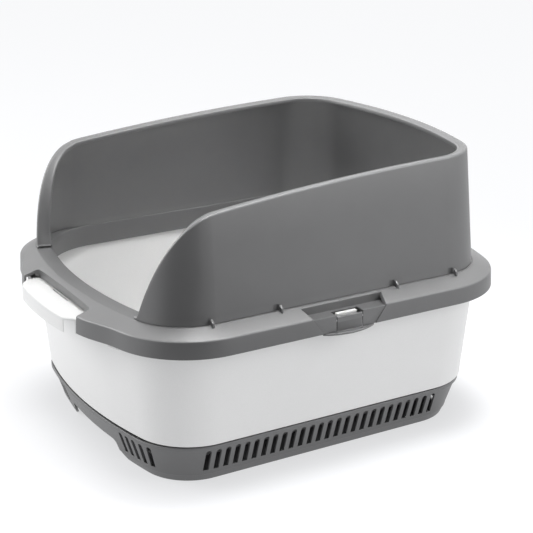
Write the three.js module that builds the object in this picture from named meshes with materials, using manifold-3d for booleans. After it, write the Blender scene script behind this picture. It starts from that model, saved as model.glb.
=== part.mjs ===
// Open-top cat litter box with a high shield: a ventilated base, a tapered litter pan, a clip-on rim
// frame with two side latches, and a shield round the back and both sides. Millimetres, +Z up and the
// front (the low entry, with the pan's handle) at -Y. The shapes below are drawn about the rim's middle;
// the assembly then moves along Y, so that the origin lies under the middle of the whole box.
import * as THREE from 'three';
import { mergeVertices } from 'three/addons/utils/BufferGeometryUtils.js';
import Module from 'manifold-3d';

const wasm = await Module();
wasm.setup();

// Plan outlines: half width a, half length b, radius of the bowed ends, radius of the corners,
// and y of the outline's middle.
const BASE_FLOOR = { a: 174, b: 227, bow: 652, corner: 63, y: 0 };
const PAN_BOTTOM = { a: 196.5, b: 247, bow: 608, corner: 77.5, y: 0 };
const RIM_OUTER = { a: 230.6, b: 280, bow: 598, corner: 103, y: 0 };
const SHIELD_FOOT = { a: 206.3, b: 253.2, bow: 659, corner: 74.4, y: -2.5 };
const SHIELD_TOP = { a: 193.3, b: 247.2, bow: 553, corner: 68.4, y: -2.5 };
const RIM_OPENING = { a: 202.8, b: 242.5, bow: 585, corner: 80, y: 5 };
const CORNER_STEPS = 8;
const END_STEPS = 12;
const GAP = 0.3;
const CENTRING_Y = 8.75;

// Base
const BEVEL_TOP = 9;
const BEVEL_OUT = 4.2;
const BASE_DRAFT_OUT = 12.8;
const BASE_FLANGE_OUT = 19.5;
const BASE_SEAT_OUT = 16;
const LEDGE_OUT = 5;
const VENT_BOTTOM = 15.5;
const VENT_TOP = 45;
const VENT_WIDTH = 7;
const VENT_PITCH = 13.04;
const VENT_COUNT = 26;
const VENT_ROW_MIDDLE = -4.5;
const VENT_ARCH_STEPS = 4;
const END_VENT_X = [88, 101, 114, 127, 139];
const END_VENT_BEND_X = 118;
const END_VENT_BEND_RADIUS = 70;
const END_VENT_BEND_SLOPE = 0.16;
const END_WALL_Y = 236;
const BASE_WALL_TOP = 47;
const BASE_TOP = 52.5;
const BASE_WALL = 3;
const DECK_BOTTOM = 24.5;
const DECK_TOP = 27.5;
const LEDGE_BOTTOM = 45.3;
const DECK_HALF = 160;
const DECK_REACH = 228;
const DECK_CORNER = 60;
const DECK_TIE_Y = 223.7;
const DECK_TIE_DEPTH = 17.4;
const ARCH_HALF = 66;
const ARCH_TOP = 23.8;
const ARCH_SPREAD = 18;
const ARCH_CORNER = 9;

// Pad tray, pad and grid
const TRAY = { a: 162, b: 205, bow: 630, corner: 52, y: 0 };
const TRAY_TOP = 42;
const TRAY_WALL = 2;
const PAD = { a: 155, b: 198, bow: 620, corner: 45, y: 0 };
const PAD_TOP = 37;
const PAD_EDGE = 1.5;
const GRID = { a: 176, b: 226, bow: 600, corner: 58, y: 0 };
const GRID_THICKNESS = 3;
const GRID_ROWS = 5;
const GRID_ROW_PITCH = 80;
const GRID_COLUMNS = 13;
const GRID_COLUMN_PITCH = 24;
const GRID_SLOT_WIDTH = 8;
const GRID_SLOT_LENGTH = 66;

// Pan
const PAN_FOOT = BASE_WALL_TOP + GAP;
const PAN_STEP = 54.9;
const PAN_FLOOR = 50.3;
const FLANGE_BOTTOM = 190;
const FLANGE_TOP = 193;
const PAN_WALL = 3.2;
const PAN_DRAFT_OUT = 12.8;
const FLANGE_REACH = 29;
const PAN_FOOT_IN = 10.5;
const FLOOR_HOLE_HALF_WIDTH = 160;
const FLOOR_HOLE_HALF_LENGTH = 206;
const LUG_HALF = 14;
const LUG_TOP = 200.2;
const GUSSET_X = 118;
const HANDLE_HALF = 80;
const HANDLE_BACK = -262;
const HANDLE_FRONT = -298.5;
const HANDLE_BOTTOM = 177.5;
const HANDLE_TOP = 197.8;
const HANDLE_WALL = 3;

// Rim
const SKIRT_BOTTOM = 181;
const RIM_EDGE = 202.3;
const RIM_CREST = 211.9;
const RIM_WALL = 2.6;
const INNER_WALL_BOTTOM = 183.5;
const NOTCH_HALF = 81.2;
const NOTCH_BACK = -264.5;
const NOTCH_FLARE = 9;
const RECESS_FLOOR = 200.5;
const RECESS_BACK = 211.5;
const RECESS_HALF_LOW = 50;
const RECESS_HALF_HIGH = 60;
const FACET_HALF_LOW = 36;
const FACET_HALF_HIGH = 55;
const FACET_DEPTH = 0.4;
const WINDOW_X = 216;
const WINDOW_HALF = 18.6;
const BOSS_END = 26;
const TAB_YS = [-172, -81.5, 81.5, 170];
const TAB_THICKNESS = 2.8;

// Latch
const LATCH_AXIS_X = 228.8;
const LATCH_AXIS_Z = 194;
const LATCH_HALF = 17.6;
const LATCH_INNER_X = 227.6;
const LATCH_OUTER_X = 230.4;
const LATCH_TOP = 198.6;
const LATCH_PIN_R = 1.2;
const LATCH_PIN_HALF = 23;
const LATCH_BARREL_R = 2.7;
const HOOK_HALF = 12;
const LIP_HALF = 36.5;
const LIP_OUT = 238.3;
const LIP_BOTTOM = 177.8;

// Shield
const SHIELD_BOTTOM = RIM_CREST + GAP;
const CROWN = 351.9;
const CROWN_SLOPE = 0.0638;
const CROWN_SAG = 0.000143;
const SHIELD_WALL = 3;
const TOP_FACE_WIDTH = 13;
const FRONT_FACE_EXTRA = 6.5;
const SWEEP_START = -15;
const SWEEP_END = 103.5;
const SWEEP_POWER = 2.5;
const SWEEP_STEPS = 26;
const BACK_CORNER_STEPS = 10;
const POCKET_X = 204.7;
const POCKET_HEIGHT = 7.5;

const MATERIALS = {
  grey: { color: 0x5a5b5c, roughness: 0.42, metalness: 0 },
  rimGrey: { color: 0x5d5e5f, roughness: 0.4, metalness: 0 },
  white: { color: 0xe2e2e1, roughness: 0.32, metalness: 0 },
  tray: { color: 0x464748, roughness: 0.5, metalness: 0 },
  pad: { color: 0xf1f0ea, roughness: 0.95, metalness: 0 },
  steel: { color: 0xb9bbbd, roughness: 0.3, metalness: 1 },
};

// ---------- outlines ----------

function grow(shape, d) {
  return { a: shape.a + d, b: shape.b + d, bow: shape.bow + d, corner: shape.corner + d, y: shape.y };
}

// Where the corner arc meets the straight side (sideY) and the angle it turns through.
function corners(shape) {
  const angle = Math.acos((shape.a - shape.corner) / (shape.bow - shape.corner));
  const sideY = shape.b - shape.bow + (shape.bow - shape.corner) * Math.sin(angle);
  return { angle, sideY };
}

// A point of the quarter of the outline with x > 0 and y > 0, before the shape's own y is added.
function cornerPoint(shape, t) {
  const { angle, sideY } = corners(shape);
  const turn = angle * t;
  const cx = shape.a - shape.corner;
  return [cx + shape.corner * Math.cos(turn), sideY + shape.corner * Math.sin(turn)];
}

function endPoint(shape, t) {
  const { angle } = corners(shape);
  const turn = angle + (Math.PI - 2 * angle) * t;
  return [shape.bow * Math.cos(turn), shape.b - shape.bow + shape.bow * Math.sin(turn)];
}

// The whole outline, counter-clockwise, with the same number of points for every shape.
function outline(shape, flare = 0) {
  const half = [];
  for (let i = 0; i <= CORNER_STEPS; i += 1) half.push(cornerPoint(shape, i / CORNER_STEPS));
  for (let i = 1; i < END_STEPS; i += 1) half.push(endPoint(shape, i / END_STEPS));
  for (let i = CORNER_STEPS; i >= 0; i -= 1) {
    const [x, y] = cornerPoint(shape, i / CORNER_STEPS);
    half.push([-x, y]);
  }
  const front = half.map(([x, y]) => [-x, -y - flareAt(x, flare)]);
  return [...half, ...front].map(([x, y]) => new THREE.Vector2(x, y + shape.y));
}

// The rim swings out a little on both sides of the handle notch.
function flareAt(x, flare) {
  const flareEnds = 145;
  const flareLength = 60;
  return flare * THREE.MathUtils.smoothstep((flareEnds - Math.abs(x)) / flareLength, 0, 1);
}

// ---------- solids ----------

function toSolid(geometry) {
  const bare = geometry.clone();
  bare.deleteAttribute('normal');
  bare.deleteAttribute('uv');
  const merged = mergeVertices(bare, 1e-4);
  return new wasm.Manifold(new wasm.Mesh({
    numProp: 3,
    vertProperties: new Float32Array(merged.attributes.position.array),
    triVerts: new Uint32Array(merged.index.array),
  }));
}

function toGeometry(solid) {
  const mesh = solid.getMesh();
  const geometry = new THREE.BufferGeometry();
  geometry.setAttribute('position', new THREE.BufferAttribute(new Float32Array(mesh.vertProperties), 3));
  geometry.setIndex(new THREE.BufferAttribute(new Uint32Array(mesh.triVerts), 1));
  geometry.computeVertexNormals();
  return geometry;
}

function indexed(positions, triangles) {
  const geometry = new THREE.BufferGeometry();
  geometry.setAttribute('position', new THREE.Float32BufferAttribute(positions, 3));
  geometry.setIndex(triangles);
  return geometry;
}

// A closed body through matching outlines at rising heights: levels are [z, points].
function loft(levels) {
  const n = levels[0][1].length;
  const positions = [];
  const triangles = [];
  for (const [z, points] of levels) {
    for (const p of points) positions.push(p.x, p.y, z);
  }
  for (let k = 0; k + 1 < levels.length; k += 1) {
    for (let i = 0; i < n; i += 1) {
      const j = (i + 1) % n;
      const a = k * n + i;
      const b = k * n + j;
      triangles.push(a, b, b + n, a, b + n, a + n);
    }
  }
  const top = (levels.length - 1) * n;
  for (const [p, q, r] of THREE.ShapeUtils.triangulateShape(levels[0][1], [])) triangles.push(p, r, q);
  for (const [p, q, r] of THREE.ShapeUtils.triangulateShape(levels.at(-1)[1], [])) {
    triangles.push(top + p, top + q, top + r);
  }
  return toSolid(indexed(positions, triangles));
}

function box(x0, x1, y0, y1, z0, z1) {
  const geometry = new THREE.BoxGeometry(x1 - x0, y1 - y0, z1 - z0);
  geometry.translate((x0 + x1) / 2, (y0 + y1) / 2, (z0 + z1) / 2);
  return toSolid(geometry);
}

function extrude(shape, depth, curveSegments = 6) {
  return new THREE.ExtrudeGeometry(shape, { depth, bevelEnabled: false, curveSegments });
}

// A shape drawn in (y, z) and extruded from x0 to x1.
function prismX(shape, x0, x1, curveSegments) {
  const geometry = extrude(shape, x1 - x0, curveSegments);
  geometry.applyMatrix4(new THREE.Matrix4().set(0, 0, 1, x0, 1, 0, 0, 0, 0, 1, 0, 0, 0, 0, 0, 1));
  return toSolid(geometry);
}

// A shape drawn in (x, z) and extruded from y0 to y1.
function prismY(shape, y0, y1, curveSegments) {
  const geometry = extrude(shape, y1 - y0, curveSegments);
  geometry.applyMatrix4(new THREE.Matrix4().set(1, 0, 0, 0, 0, 0, -1, y1, 0, 1, 0, 0, 0, 0, 0, 1));
  return toSolid(geometry);
}

function prismZ(shape, z0, z1, curveSegments) {
  const geometry = extrude(shape, z1 - z0, curveSegments);
  geometry.translate(0, 0, z0);
  return toSolid(geometry);
}

function rodY(radius, x, z, y0, y1, sides = 16) {
  const geometry = new THREE.CylinderGeometry(radius, radius, y1 - y0, sides);
  geometry.translate(x, (y0 + y1) / 2, z);
  return toSolid(geometry);
}

function polygon(points) {
  return new THREE.Shape(points.map(([x, y]) => new THREE.Vector2(x, y)));
}

function roundedRect(x0, x1, y0, y1, r) {
  const shape = new THREE.Shape();
  shape.absarc(x1 - r, y0 + r, r, -Math.PI / 2, 0);
  shape.absarc(x1 - r, y1 - r, r, 0, Math.PI / 2);
  shape.absarc(x0 + r, y1 - r, r, Math.PI / 2, Math.PI);
  shape.absarc(x0 + r, y0 + r, r, Math.PI, Math.PI * 1.5);
  return shape;
}

function both(make) {
  return [1, -1].map((side) => make(side));
}

function mirrored(solid, side) {
  return side > 0 ? solid : solid.mirror([1, 0, 0]);
}

function node(name, solid, material) {
  const spec = MATERIALS[material];
  const placed = solid.translate([0, CENTRING_Y, 0]);
  const mesh = new THREE.Mesh(toGeometry(placed), new THREE.MeshStandardMaterial(spec));
  mesh.name = name;
  return mesh;
}

// ---------- base ----------

// The base wall leans out from the floor to the flange under the pan.
function baseOffset(z) {
  if (z <= BEVEL_TOP) return (z / BEVEL_TOP) * BEVEL_OUT;
  return BEVEL_OUT + ((z - BEVEL_TOP) / (BASE_WALL_TOP - BEVEL_TOP)) * BASE_DRAFT_OUT;
}

function baseLevel(z, d = 0) {
  return [z, outline(grow(BASE_FLOOR, baseOffset(Math.min(z, BASE_WALL_TOP)) + d))];
}

// A slot with a square foot and an arched head.
function ventShape() {
  const r = VENT_WIDTH / 2;
  const points = [[-r, VENT_BOTTOM], [r, VENT_BOTTOM]];
  for (let i = 0; i <= VENT_ARCH_STEPS; i += 1) {
    const turn = (Math.PI * i) / VENT_ARCH_STEPS;
    points.push([r * Math.cos(turn), VENT_TOP - r + r * Math.sin(turn)]);
  }
  return polygon(points);
}

function sideVents() {
  const cut = prismX(ventShape(), BASE_FLOOR.a, BASE_FLOOR.a + 22);
  const cuts = [];
  for (let i = 0; i < VENT_COUNT; i += 1) {
    const y = VENT_ROW_MIDDLE + (i - (VENT_COUNT - 1) / 2) * VENT_PITCH;
    both((side) => cuts.push(mirrored(cut.translate([0, y, 0]), side)));
  }
  return cuts;
}

// Five vents in each foot at the front, and the same at the back, each square to the wall there.
function endVents() {
  const cuts = [];
  for (const x of END_VENT_X) {
    const past = Math.max(0, x - END_VENT_BEND_X);
    const turn = x / BASE_FLOOR.bow + past / END_VENT_BEND_RADIUS;
    const y = END_WALL_Y - (x * x) / (2 * BASE_FLOOR.bow) - past * END_VENT_BEND_SLOPE;
    const slot = prismY(ventShape(), -11, 11).rotate([0, 0, THREE.MathUtils.radToDeg(-turn)]);
    const cut = slot.translate([x, y, 0]);
    both((side) => {
      cuts.push(mirrored(cut, side));
      cuts.push(mirrored(cut.mirror([0, 1, 0]), side));
    });
  }
  return cuts;
}

// The raised cut-out between the two front feet.
function frontArch() {
  const foot = ARCH_HALF + ARCH_SPREAD;
  const shape = new THREE.Shape();
  shape.moveTo(-foot, -1);
  shape.lineTo(foot, -1);
  shape.quadraticCurveTo(ARCH_HALF + 2, 4, ARCH_HALF, 14);
  shape.quadraticCurveTo(ARCH_HALF, ARCH_TOP, ARCH_HALF - ARCH_CORNER, ARCH_TOP);
  shape.lineTo(ARCH_CORNER - ARCH_HALF, ARCH_TOP);
  shape.quadraticCurveTo(-ARCH_HALF, ARCH_TOP, -ARCH_HALF, 14);
  shape.quadraticCurveTo(-ARCH_HALF - 2, 4, -foot, -1);
  return prismY(shape, -260, -190);
}

// The deck that carries the pad tray is tied to the front and back walls and clear of the side vents.
function baseDeck() {
  const plate = roundedRect(-DECK_HALF, DECK_HALF, -DECK_REACH, DECK_REACH, DECK_CORNER);
  const edge = loft([baseLevel(DECK_BOTTOM - 1, -10), baseLevel(DECK_TOP + 1, -10)]);
  const deck = prismZ(plate, DECK_BOTTOM, DECK_TOP, 5).intersect(edge);
  const ties = [-1, 1].map((end) => {
    const y = end * DECK_TIE_Y - DECK_TIE_DEPTH / 2;
    return box(-DECK_CORNER, DECK_CORNER, y, y + DECK_TIE_DEPTH, DECK_BOTTOM, DECK_TOP);
  });
  return wasm.Manifold.union([deck, ...ties]);
}

function baseFrame() {
  const flange = outline(grow(BASE_FLOOR, BASE_FLANGE_OUT));
  const seatEdge = outline(grow(BASE_FLOOR, BASE_SEAT_OUT));
  const ledgeEdge = outline(grow(BASE_FLOOR, LEDGE_OUT));
  const outer = loft([baseLevel(0), baseLevel(BEVEL_TOP), baseLevel(BASE_WALL_TOP - 0.4),
    [BASE_WALL_TOP, flange], [BASE_TOP, flange]]);
  const inner = loft([baseLevel(-1, -BASE_WALL), baseLevel(BEVEL_TOP, -BASE_WALL),
    baseLevel(LEDGE_BOTTOM, -BASE_WALL)]);
  const ledgeHole = loft([[LEDGE_BOTTOM - 0.5, ledgeEdge], [BASE_WALL_TOP + 0.5, ledgeEdge]]);
  const seat = loft([[BASE_WALL_TOP, seatEdge], [BASE_TOP + 1, seatEdge]]);
  const wall = wasm.Manifold.difference([outer, inner, ledgeHole, seat, frontArch()]);
  const vented = wasm.Manifold.difference([wall, ...sideVents(), ...endVents()]);
  return vented.add(baseDeck());
}

// ---------- inside the base ----------

function padTray() {
  const floor = DECK_TOP + GAP;
  const outer = loft([[floor, outline(grow(TRAY, -3))], [TRAY_TOP - TRAY_WALL, outline(TRAY)],
    [TRAY_TOP - TRAY_WALL + 0.1, outline(grow(TRAY, 3))], [TRAY_TOP, outline(grow(TRAY, 3))]]);
  const inner = loft([[floor + TRAY_WALL, outline(grow(TRAY, -3 - TRAY_WALL))],
    [TRAY_TOP + 1, outline(grow(TRAY, -TRAY_WALL))]]);
  return outer.subtract(inner);
}

function absorbentPad() {
  const bottom = DECK_TOP + TRAY_WALL + 2 * GAP;
  return loft([[bottom, outline(grow(PAD, -PAD_EDGE))], [bottom + 2, outline(PAD)],
    [PAD_TOP - 2, outline(PAD)], [PAD_TOP, outline(grow(PAD, -PAD_EDGE))]]);
}

// ---------- litter pan ----------

function handle() {
  const shape = new THREE.Shape();
  const cornerX = HANDLE_HALF - 13;
  const cornerY = HANDLE_FRONT + 2.8;
  const sideEndY = HANDLE_FRONT + 16;
  shape.moveTo(-HANDLE_HALF, HANDLE_BACK);
  shape.lineTo(-HANDLE_HALF, sideEndY);
  shape.quadraticCurveTo(-HANDLE_HALF, HANDLE_FRONT + 4.5, -cornerX, cornerY);
  shape.quadraticCurveTo(0, HANDLE_FRONT - 3, cornerX, cornerY);
  shape.quadraticCurveTo(HANDLE_HALF, HANDLE_FRONT + 4.5, HANDLE_HALF, sideEndY);
  shape.lineTo(HANDLE_HALF, HANDLE_BACK);
  const body = prismZ(shape, HANDLE_BOTTOM, HANDLE_TOP, 8);
  const inside = HANDLE_HALF - HANDLE_WALL;
  const gripShape = roundedRect(-inside, inside, HANDLE_FRONT + 5.5, HANDLE_BACK - HANDLE_WALL, 9);
  const grip = prismZ(gripShape, HANDLE_BOTTOM - 1, HANDLE_TOP - HANDLE_WALL, 6);
  const clipSlot = box(-28, 18, HANDLE_BACK - 6.5, HANDLE_BACK - 4, HANDLE_TOP - 5, HANDLE_TOP + 1);
  return wasm.Manifold.difference([body, grip, clipSlot]);
}

// Small gussets under the flange beside the handle.
function panGussets() {
  const top = FLANGE_BOTTOM + 1;
  const shape = polygon([[-266, top], [-248, top], [-248, 166], [-262, 174]]);
  return both((side) => mirrored(prismX(shape, GUSSET_X, GUSSET_X + 3), side));
}

// The lug that shows in the latch window.
function catchLug(side) {
  return mirrored(box(218.8, 223.8, -LUG_HALF, LUG_HALF, FLANGE_BOTTOM + 1, LUG_TOP), side);
}

function litterPan() {
  const draft = (z) => ((z - PAN_STEP) / (FLANGE_BOTTOM - PAN_STEP)) * PAN_DRAFT_OUT;
  const level = (z, d = 0) => [z, outline(grow(PAN_BOTTOM, draft(z) + d))];
  const flange = outline(grow(PAN_BOTTOM, FLANGE_REACH));
  const outer = loft([[PAN_FOOT, outline(grow(PAN_BOTTOM, -PAN_FOOT_IN))],
    [PAN_STEP - 0.6, outline(grow(PAN_BOTTOM, 0.9 - PAN_FOOT_IN))], level(PAN_STEP, -1.3),
    level(PAN_STEP + 2, 0), level(FLANGE_BOTTOM - 0.3), [FLANGE_BOTTOM, flange], [FLANGE_TOP, flange]]);
  const inner = loft([[PAN_FLOOR, outline(grow(PAN_BOTTOM, -3 - PAN_FOOT_IN))],
    [PAN_STEP + 3, outline(grow(PAN_BOTTOM, -2.1 - PAN_FOOT_IN))], level(PAN_STEP + 4, -PAN_WALL),
    level(FLANGE_TOP + 5, -PAN_WALL)]);
  const holeShape = roundedRect(-FLOOR_HOLE_HALF_WIDTH, FLOOR_HOLE_HALF_WIDTH, -FLOOR_HOLE_HALF_LENGTH,
    FLOOR_HOLE_HALF_LENGTH, 50);
  const floorHole = prismZ(holeShape, PAN_FOOT - 1, PAN_FLOOR + 1, 6);
  const solid = wasm.Manifold.union([outer, handle(), ...both(catchLug), ...panGussets()]);
  return wasm.Manifold.difference([solid, inner, floorHole]);
}

// Drop-in floor grid: rows of long slots that let moisture through to the pad.
function floorGrid() {
  const bottom = PAN_FLOOR + GAP;
  const top = bottom + GRID_THICKNESS;
  const plate = loft([[bottom, outline(GRID)], [top, outline(grow(GRID, -0.8))]]);
  const slot = box(-GRID_SLOT_WIDTH / 2, GRID_SLOT_WIDTH / 2, -GRID_SLOT_LENGTH / 2, GRID_SLOT_LENGTH / 2,
    bottom - 1, top + 1);
  const cuts = [];
  for (let row = 0; row < GRID_ROWS; row += 1) {
    for (let column = 0; column < GRID_COLUMNS; column += 1) {
      const x = (column - (GRID_COLUMNS - 1) / 2) * GRID_COLUMN_PITCH;
      const y = (row - (GRID_ROWS - 1) / 2) * GRID_ROW_PITCH;
      cuts.push(slot.translate([x, y, 0]));
    }
  }
  return wasm.Manifold.difference([plate, ...cuts]);
}

// ---------- rim frame ----------

// A vertical ring of the given wall between two heights, following an outline.
function ringWall(shape, wall, z0, z1) {
  const outer = loft([[z0, outline(grow(shape, wall))], [z1, outline(grow(shape, wall))]]);
  return outer.subtract(loft([[z0 - 1, outline(shape)], [z1 + 1, outline(shape)]]));
}

function rimBody() {
  const skirt = outline(grow(RIM_OUTER, 1.1), NOTCH_FLARE);
  const outer = loft([[SKIRT_BOTTOM, skirt], [RIM_EDGE - 1, outline(RIM_OUTER, NOTCH_FLARE)],
    [RIM_EDGE, outline(grow(RIM_OUTER, -1), NOTCH_FLARE)],
    [RIM_CREST - 0.4, outline(grow(SHIELD_FOOT, 2))], [RIM_CREST, outline(grow(SHIELD_FOOT, 1))]]);
  const cavity = loft([[SKIRT_BOTTOM - 1, outline(grow(RIM_OUTER, 1.1 - RIM_WALL), NOTCH_FLARE)],
    [RIM_EDGE - RIM_WALL, outline(grow(RIM_OUTER, -RIM_WALL), NOTCH_FLARE)],
    [RIM_CREST - RIM_WALL - 0.3, outline(grow(SHIELD_FOOT, 1))]]);
  const innerWall = loft([[INNER_WALL_BOTTOM, outline(grow(RIM_OPENING, RIM_WALL))],
    [RIM_CREST, outline(grow(RIM_OPENING, RIM_WALL))]]);
  const notchRoom = box(-NOTCH_HALF - 3, NOTCH_HALF + 3, -290, -240, FLANGE_TOP, RIM_CREST);
  const rest = ringWall(grow(PAN_BOTTOM, 17), 2, FLANGE_TOP + GAP, RIM_CREST);
  const pockets = both((side) => mirrored(latchPocket(), side).intersect(outer));
  const inside = wasm.Manifold.union([rest.intersect(outer).subtract(notchRoom), ...pockets]);
  return outer.subtract(cavity.subtract(innerWall)).add(inside);
}

// The floor, back and pin bosses of a latch recess, before it is hollowed out.
function latchPocket() {
  const half = RECESS_HALF_HIGH + 2;
  const slab = box(RECESS_BACK - 2.4, RIM_OUTER.a + 1, -half, half, RECESS_FLOOR - 2.6, RIM_CREST);
  const bosses = [[-BOSS_END, -WINDOW_HALF], [WINDOW_HALF, BOSS_END]].map(([y0, y1]) => (
    box(LATCH_AXIS_X - 3, RIM_OUTER.a, y0, y1, LATCH_AXIS_Z - 5, RECESS_FLOOR)));
  return wasm.Manifold.union([slab, ...bosses]);
}

// A trapezoid in (y, z), symmetric about y = 0.
function trapezoid(lowHalf, highHalf, z0, z1) {
  return polygon([[-lowHalf, z0], [lowHalf, z0], [highHalf, z1], [-highHalf, z1]]);
}

function latchRecess() {
  const outside = RIM_OUTER.a + 5;
  const hollowShape = trapezoid(RECESS_HALF_LOW, RECESS_HALF_HIGH, RECESS_FLOOR, RIM_CREST + 3);
  const facetShape = trapezoid(FACET_HALF_LOW, FACET_HALF_HIGH, SKIRT_BOTTOM - 1, RIM_EDGE + 3);
  const hollow = prismX(hollowShape, RECESS_BACK, outside);
  const facet = prismX(facetShape, RIM_OUTER.a - FACET_DEPTH, outside);
  const window = box(WINDOW_X, outside, -WINDOW_HALF, WINDOW_HALF, SKIRT_BOTTOM - 5, RIM_CREST + 3);
  const reach = LATCH_PIN_HALF + 0.5;
  const pinHole = rodY(LATCH_PIN_R + GAP, LATCH_AXIS_X, LATCH_AXIS_Z, -reach, reach);
  return wasm.Manifold.union([hollow, facet, window, pinHole]);
}

// The small fins that hold the shield's foot.
function clipTabs() {
  const foot = SHIELD_FOOT.a;
  const shape = polygon([[foot + 0.8, RIM_CREST - 2], [foot + 6.2, RIM_CREST - 2],
    [foot + 5.7, RIM_CREST + 3.6], [foot + 1.1, RIM_CREST + 7.2]]);
  const tab = prismY(shape, -TAB_THICKNESS / 2, TAB_THICKNESS / 2);
  const tabs = [];
  for (const y of TAB_YS) {
    both((side) => tabs.push(mirrored(tab.translate([0, y, 0]), side)));
  }
  return tabs;
}

// A fine rib on the rim that follows the foot of the shield round the back.
function footRib() {
  const outer = loft([[RIM_CREST - 2.5, outline(grow(SHIELD_FOOT, 2.6))],
    [RIM_CREST + 0.7, outline(grow(SHIELD_FOOT, 2.1))]]);
  const inner = loft([[RIM_CREST - 1.2, outline(grow(SHIELD_FOOT, 0.9))],
    [RIM_CREST + 2, outline(grow(SHIELD_FOOT, 0.9))]]);
  return outer.subtract(inner).intersect(box(-240, 240, TAB_YS[3] + 3, 290, 200, 230));
}

function rimFrame() {
  const opening = loft([[170, outline(RIM_OPENING)], [RIM_CREST + 5, outline(RIM_OPENING)]]);
  const notch = prismZ(roundedRect(-NOTCH_HALF, NOTCH_HALF, -330, NOTCH_BACK, 5), 170, 230, 4);
  const solid = wasm.Manifold.union([rimBody(), ...clipTabs(), footRib()]);
  return wasm.Manifold.difference([solid, opening, notch, ...both((side) => mirrored(latchRecess(), side))]);
}

// ---------- side latches ----------

function sideLatch() {
  const plate = box(LATCH_INNER_X, LATCH_OUTER_X, -LATCH_HALF, LATCH_HALF, LIP_BOTTOM + 0.7, LATCH_TOP);
  const barrel = rodY(LATCH_BARREL_R, LATCH_AXIS_X, LATCH_AXIS_Z, -LATCH_HALF, LATCH_HALF, 20);
  const hookShape = polygon([[228, 182], [228, 187.2], [226, 187.2], [225.9, 185.5]]);
  const hook = prismY(hookShape, -HOOK_HALF, HOOK_HALF);
  const lip = new THREE.Shape();
  lip.moveTo(228, -LIP_HALF);
  lip.quadraticCurveTo(LIP_OUT - 1.3, -24, LIP_OUT, 0);
  lip.quadraticCurveTo(LIP_OUT - 1.3, 24, 228, LIP_HALF);
  const thumb = prismZ(lip, LIP_BOTTOM, SKIRT_BOTTOM - 0.6, 9);
  const bore = rodY(LATCH_PIN_R + GAP, LATCH_AXIS_X, LATCH_AXIS_Z, -30, 30);
  return wasm.Manifold.union([plate, barrel, hook, thumb]).subtract(bore);
}

function latchPin() {
  return rodY(LATCH_PIN_R, LATCH_AXIS_X, LATCH_AXIS_Z, -LATCH_PIN_HALF, LATCH_PIN_HALF);
}

// ---------- shield ----------

// Stations run along the shield from its front edge on one side, round the back, to the other.
// Each gives the foot and top outline points, the outward direction, and the length along the
// foot past the start of the front corner, which sets how far the front edge has swept down.
function shieldStations() {
  const foot = corners(SHIELD_FOOT);
  const cornerLength = SHIELD_FOOT.corner * foot.angle;
  const quarter = [];
  for (let i = 0; i <= SWEEP_STEPS; i += 1) {
    const past = SWEEP_END * Math.sqrt(1 - i / SWEEP_STEPS);
    const t = past / cornerLength;
    quarter.push({ past, at: (s) => cornerPoint(s, t), turn: foot.angle * t, end: -1 });
  }
  for (const past of [-6, SWEEP_START - 1]) {
    quarter.push({ past, at: (s) => [s.a, corners(s).sideY + past], turn: 0, end: -1 });
  }
  quarter.push({ past: -foot.sideY, at: (s) => [s.a, 0], turn: 0, end: -1 });
  for (let i = 0; i <= BACK_CORNER_STEPS; i += 1) {
    const t = i / BACK_CORNER_STEPS;
    quarter.push({ past: SWEEP_START, at: (s) => cornerPoint(s, t), turn: foot.angle * t, end: 1 });
  }
  for (const t of [0.1, 0.2, 0.3, 0.4]) {
    const turn = foot.angle + (Math.PI - 2 * foot.angle) * t;
    quarter.push({ past: SWEEP_START, at: (s) => endPoint(s, t), turn, end: 1 });
  }
  const place = (q, side) => {
    const point = (s) => {
      const [x, y] = q.at(s);
      return new THREE.Vector2(side * x, q.end * y + s.y);
    };
    const out = new THREE.Vector2(side * Math.cos(q.turn), q.end * Math.sin(q.turn));
    return { past: q.past, foot: point(SHIELD_FOOT), top: point(SHIELD_TOP), out };
  };
  const back = (s) => new THREE.Vector2(0, s.b + s.y);
  const middle = { past: SWEEP_START, foot: back(SHIELD_FOOT), top: back(SHIELD_TOP),
    out: new THREE.Vector2(0, 1) };
  const right = quarter.map((q) => place(q, 1));
  const left = quarter.map((q) => place(q, -1)).reverse();
  return [...right, middle, ...left];
}

// How far down the front edge has swept, and how steep it is, at a length past the corner start.
function sweep(past) {
  const length = SWEEP_END - SWEEP_START;
  const t = Math.max(0, (past - SWEEP_START) / length);
  const drop = CROWN - 11 - SHIELD_BOTTOM - 2.5;
  const slope = (drop * SWEEP_POWER * t ** (SWEEP_POWER - 1)) / length;
  return { drop: drop * t ** SWEEP_POWER, slope, t };
}

// The cross-section at a station: wall, top face turned inwards, and a small lip under its edge.
function shieldSection(station) {
  const { drop, slope, t } = sweep(station.past);
  const y = station.top.y - SHIELD_TOP.y;
  const top = Math.max(CROWN + CROWN_SLOPE * y - CROWN_SAG * y * y - drop, SHIELD_BOTTOM + 3);
  const width = TOP_FACE_WIDTH + FRONT_FACE_EXTRA * t * t;
  const under = Math.max(top - 2.8 * Math.hypot(1, slope), SHIELD_BOTTOM + 1.2);
  const lip = Math.max(under - 3.5, SHIELD_BOTTOM + 0.6);
  return [[0, SHIELD_BOTTOM], [0, top - 1.4], [1.2, top], [width - 0.8, top], [width, top - 0.8],
    [width, lip], [width - 2.4, lip], [width - 2.4, under], [SHIELD_WALL, under],
    [SHIELD_WALL, SHIELD_BOTTOM]];
}

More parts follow.
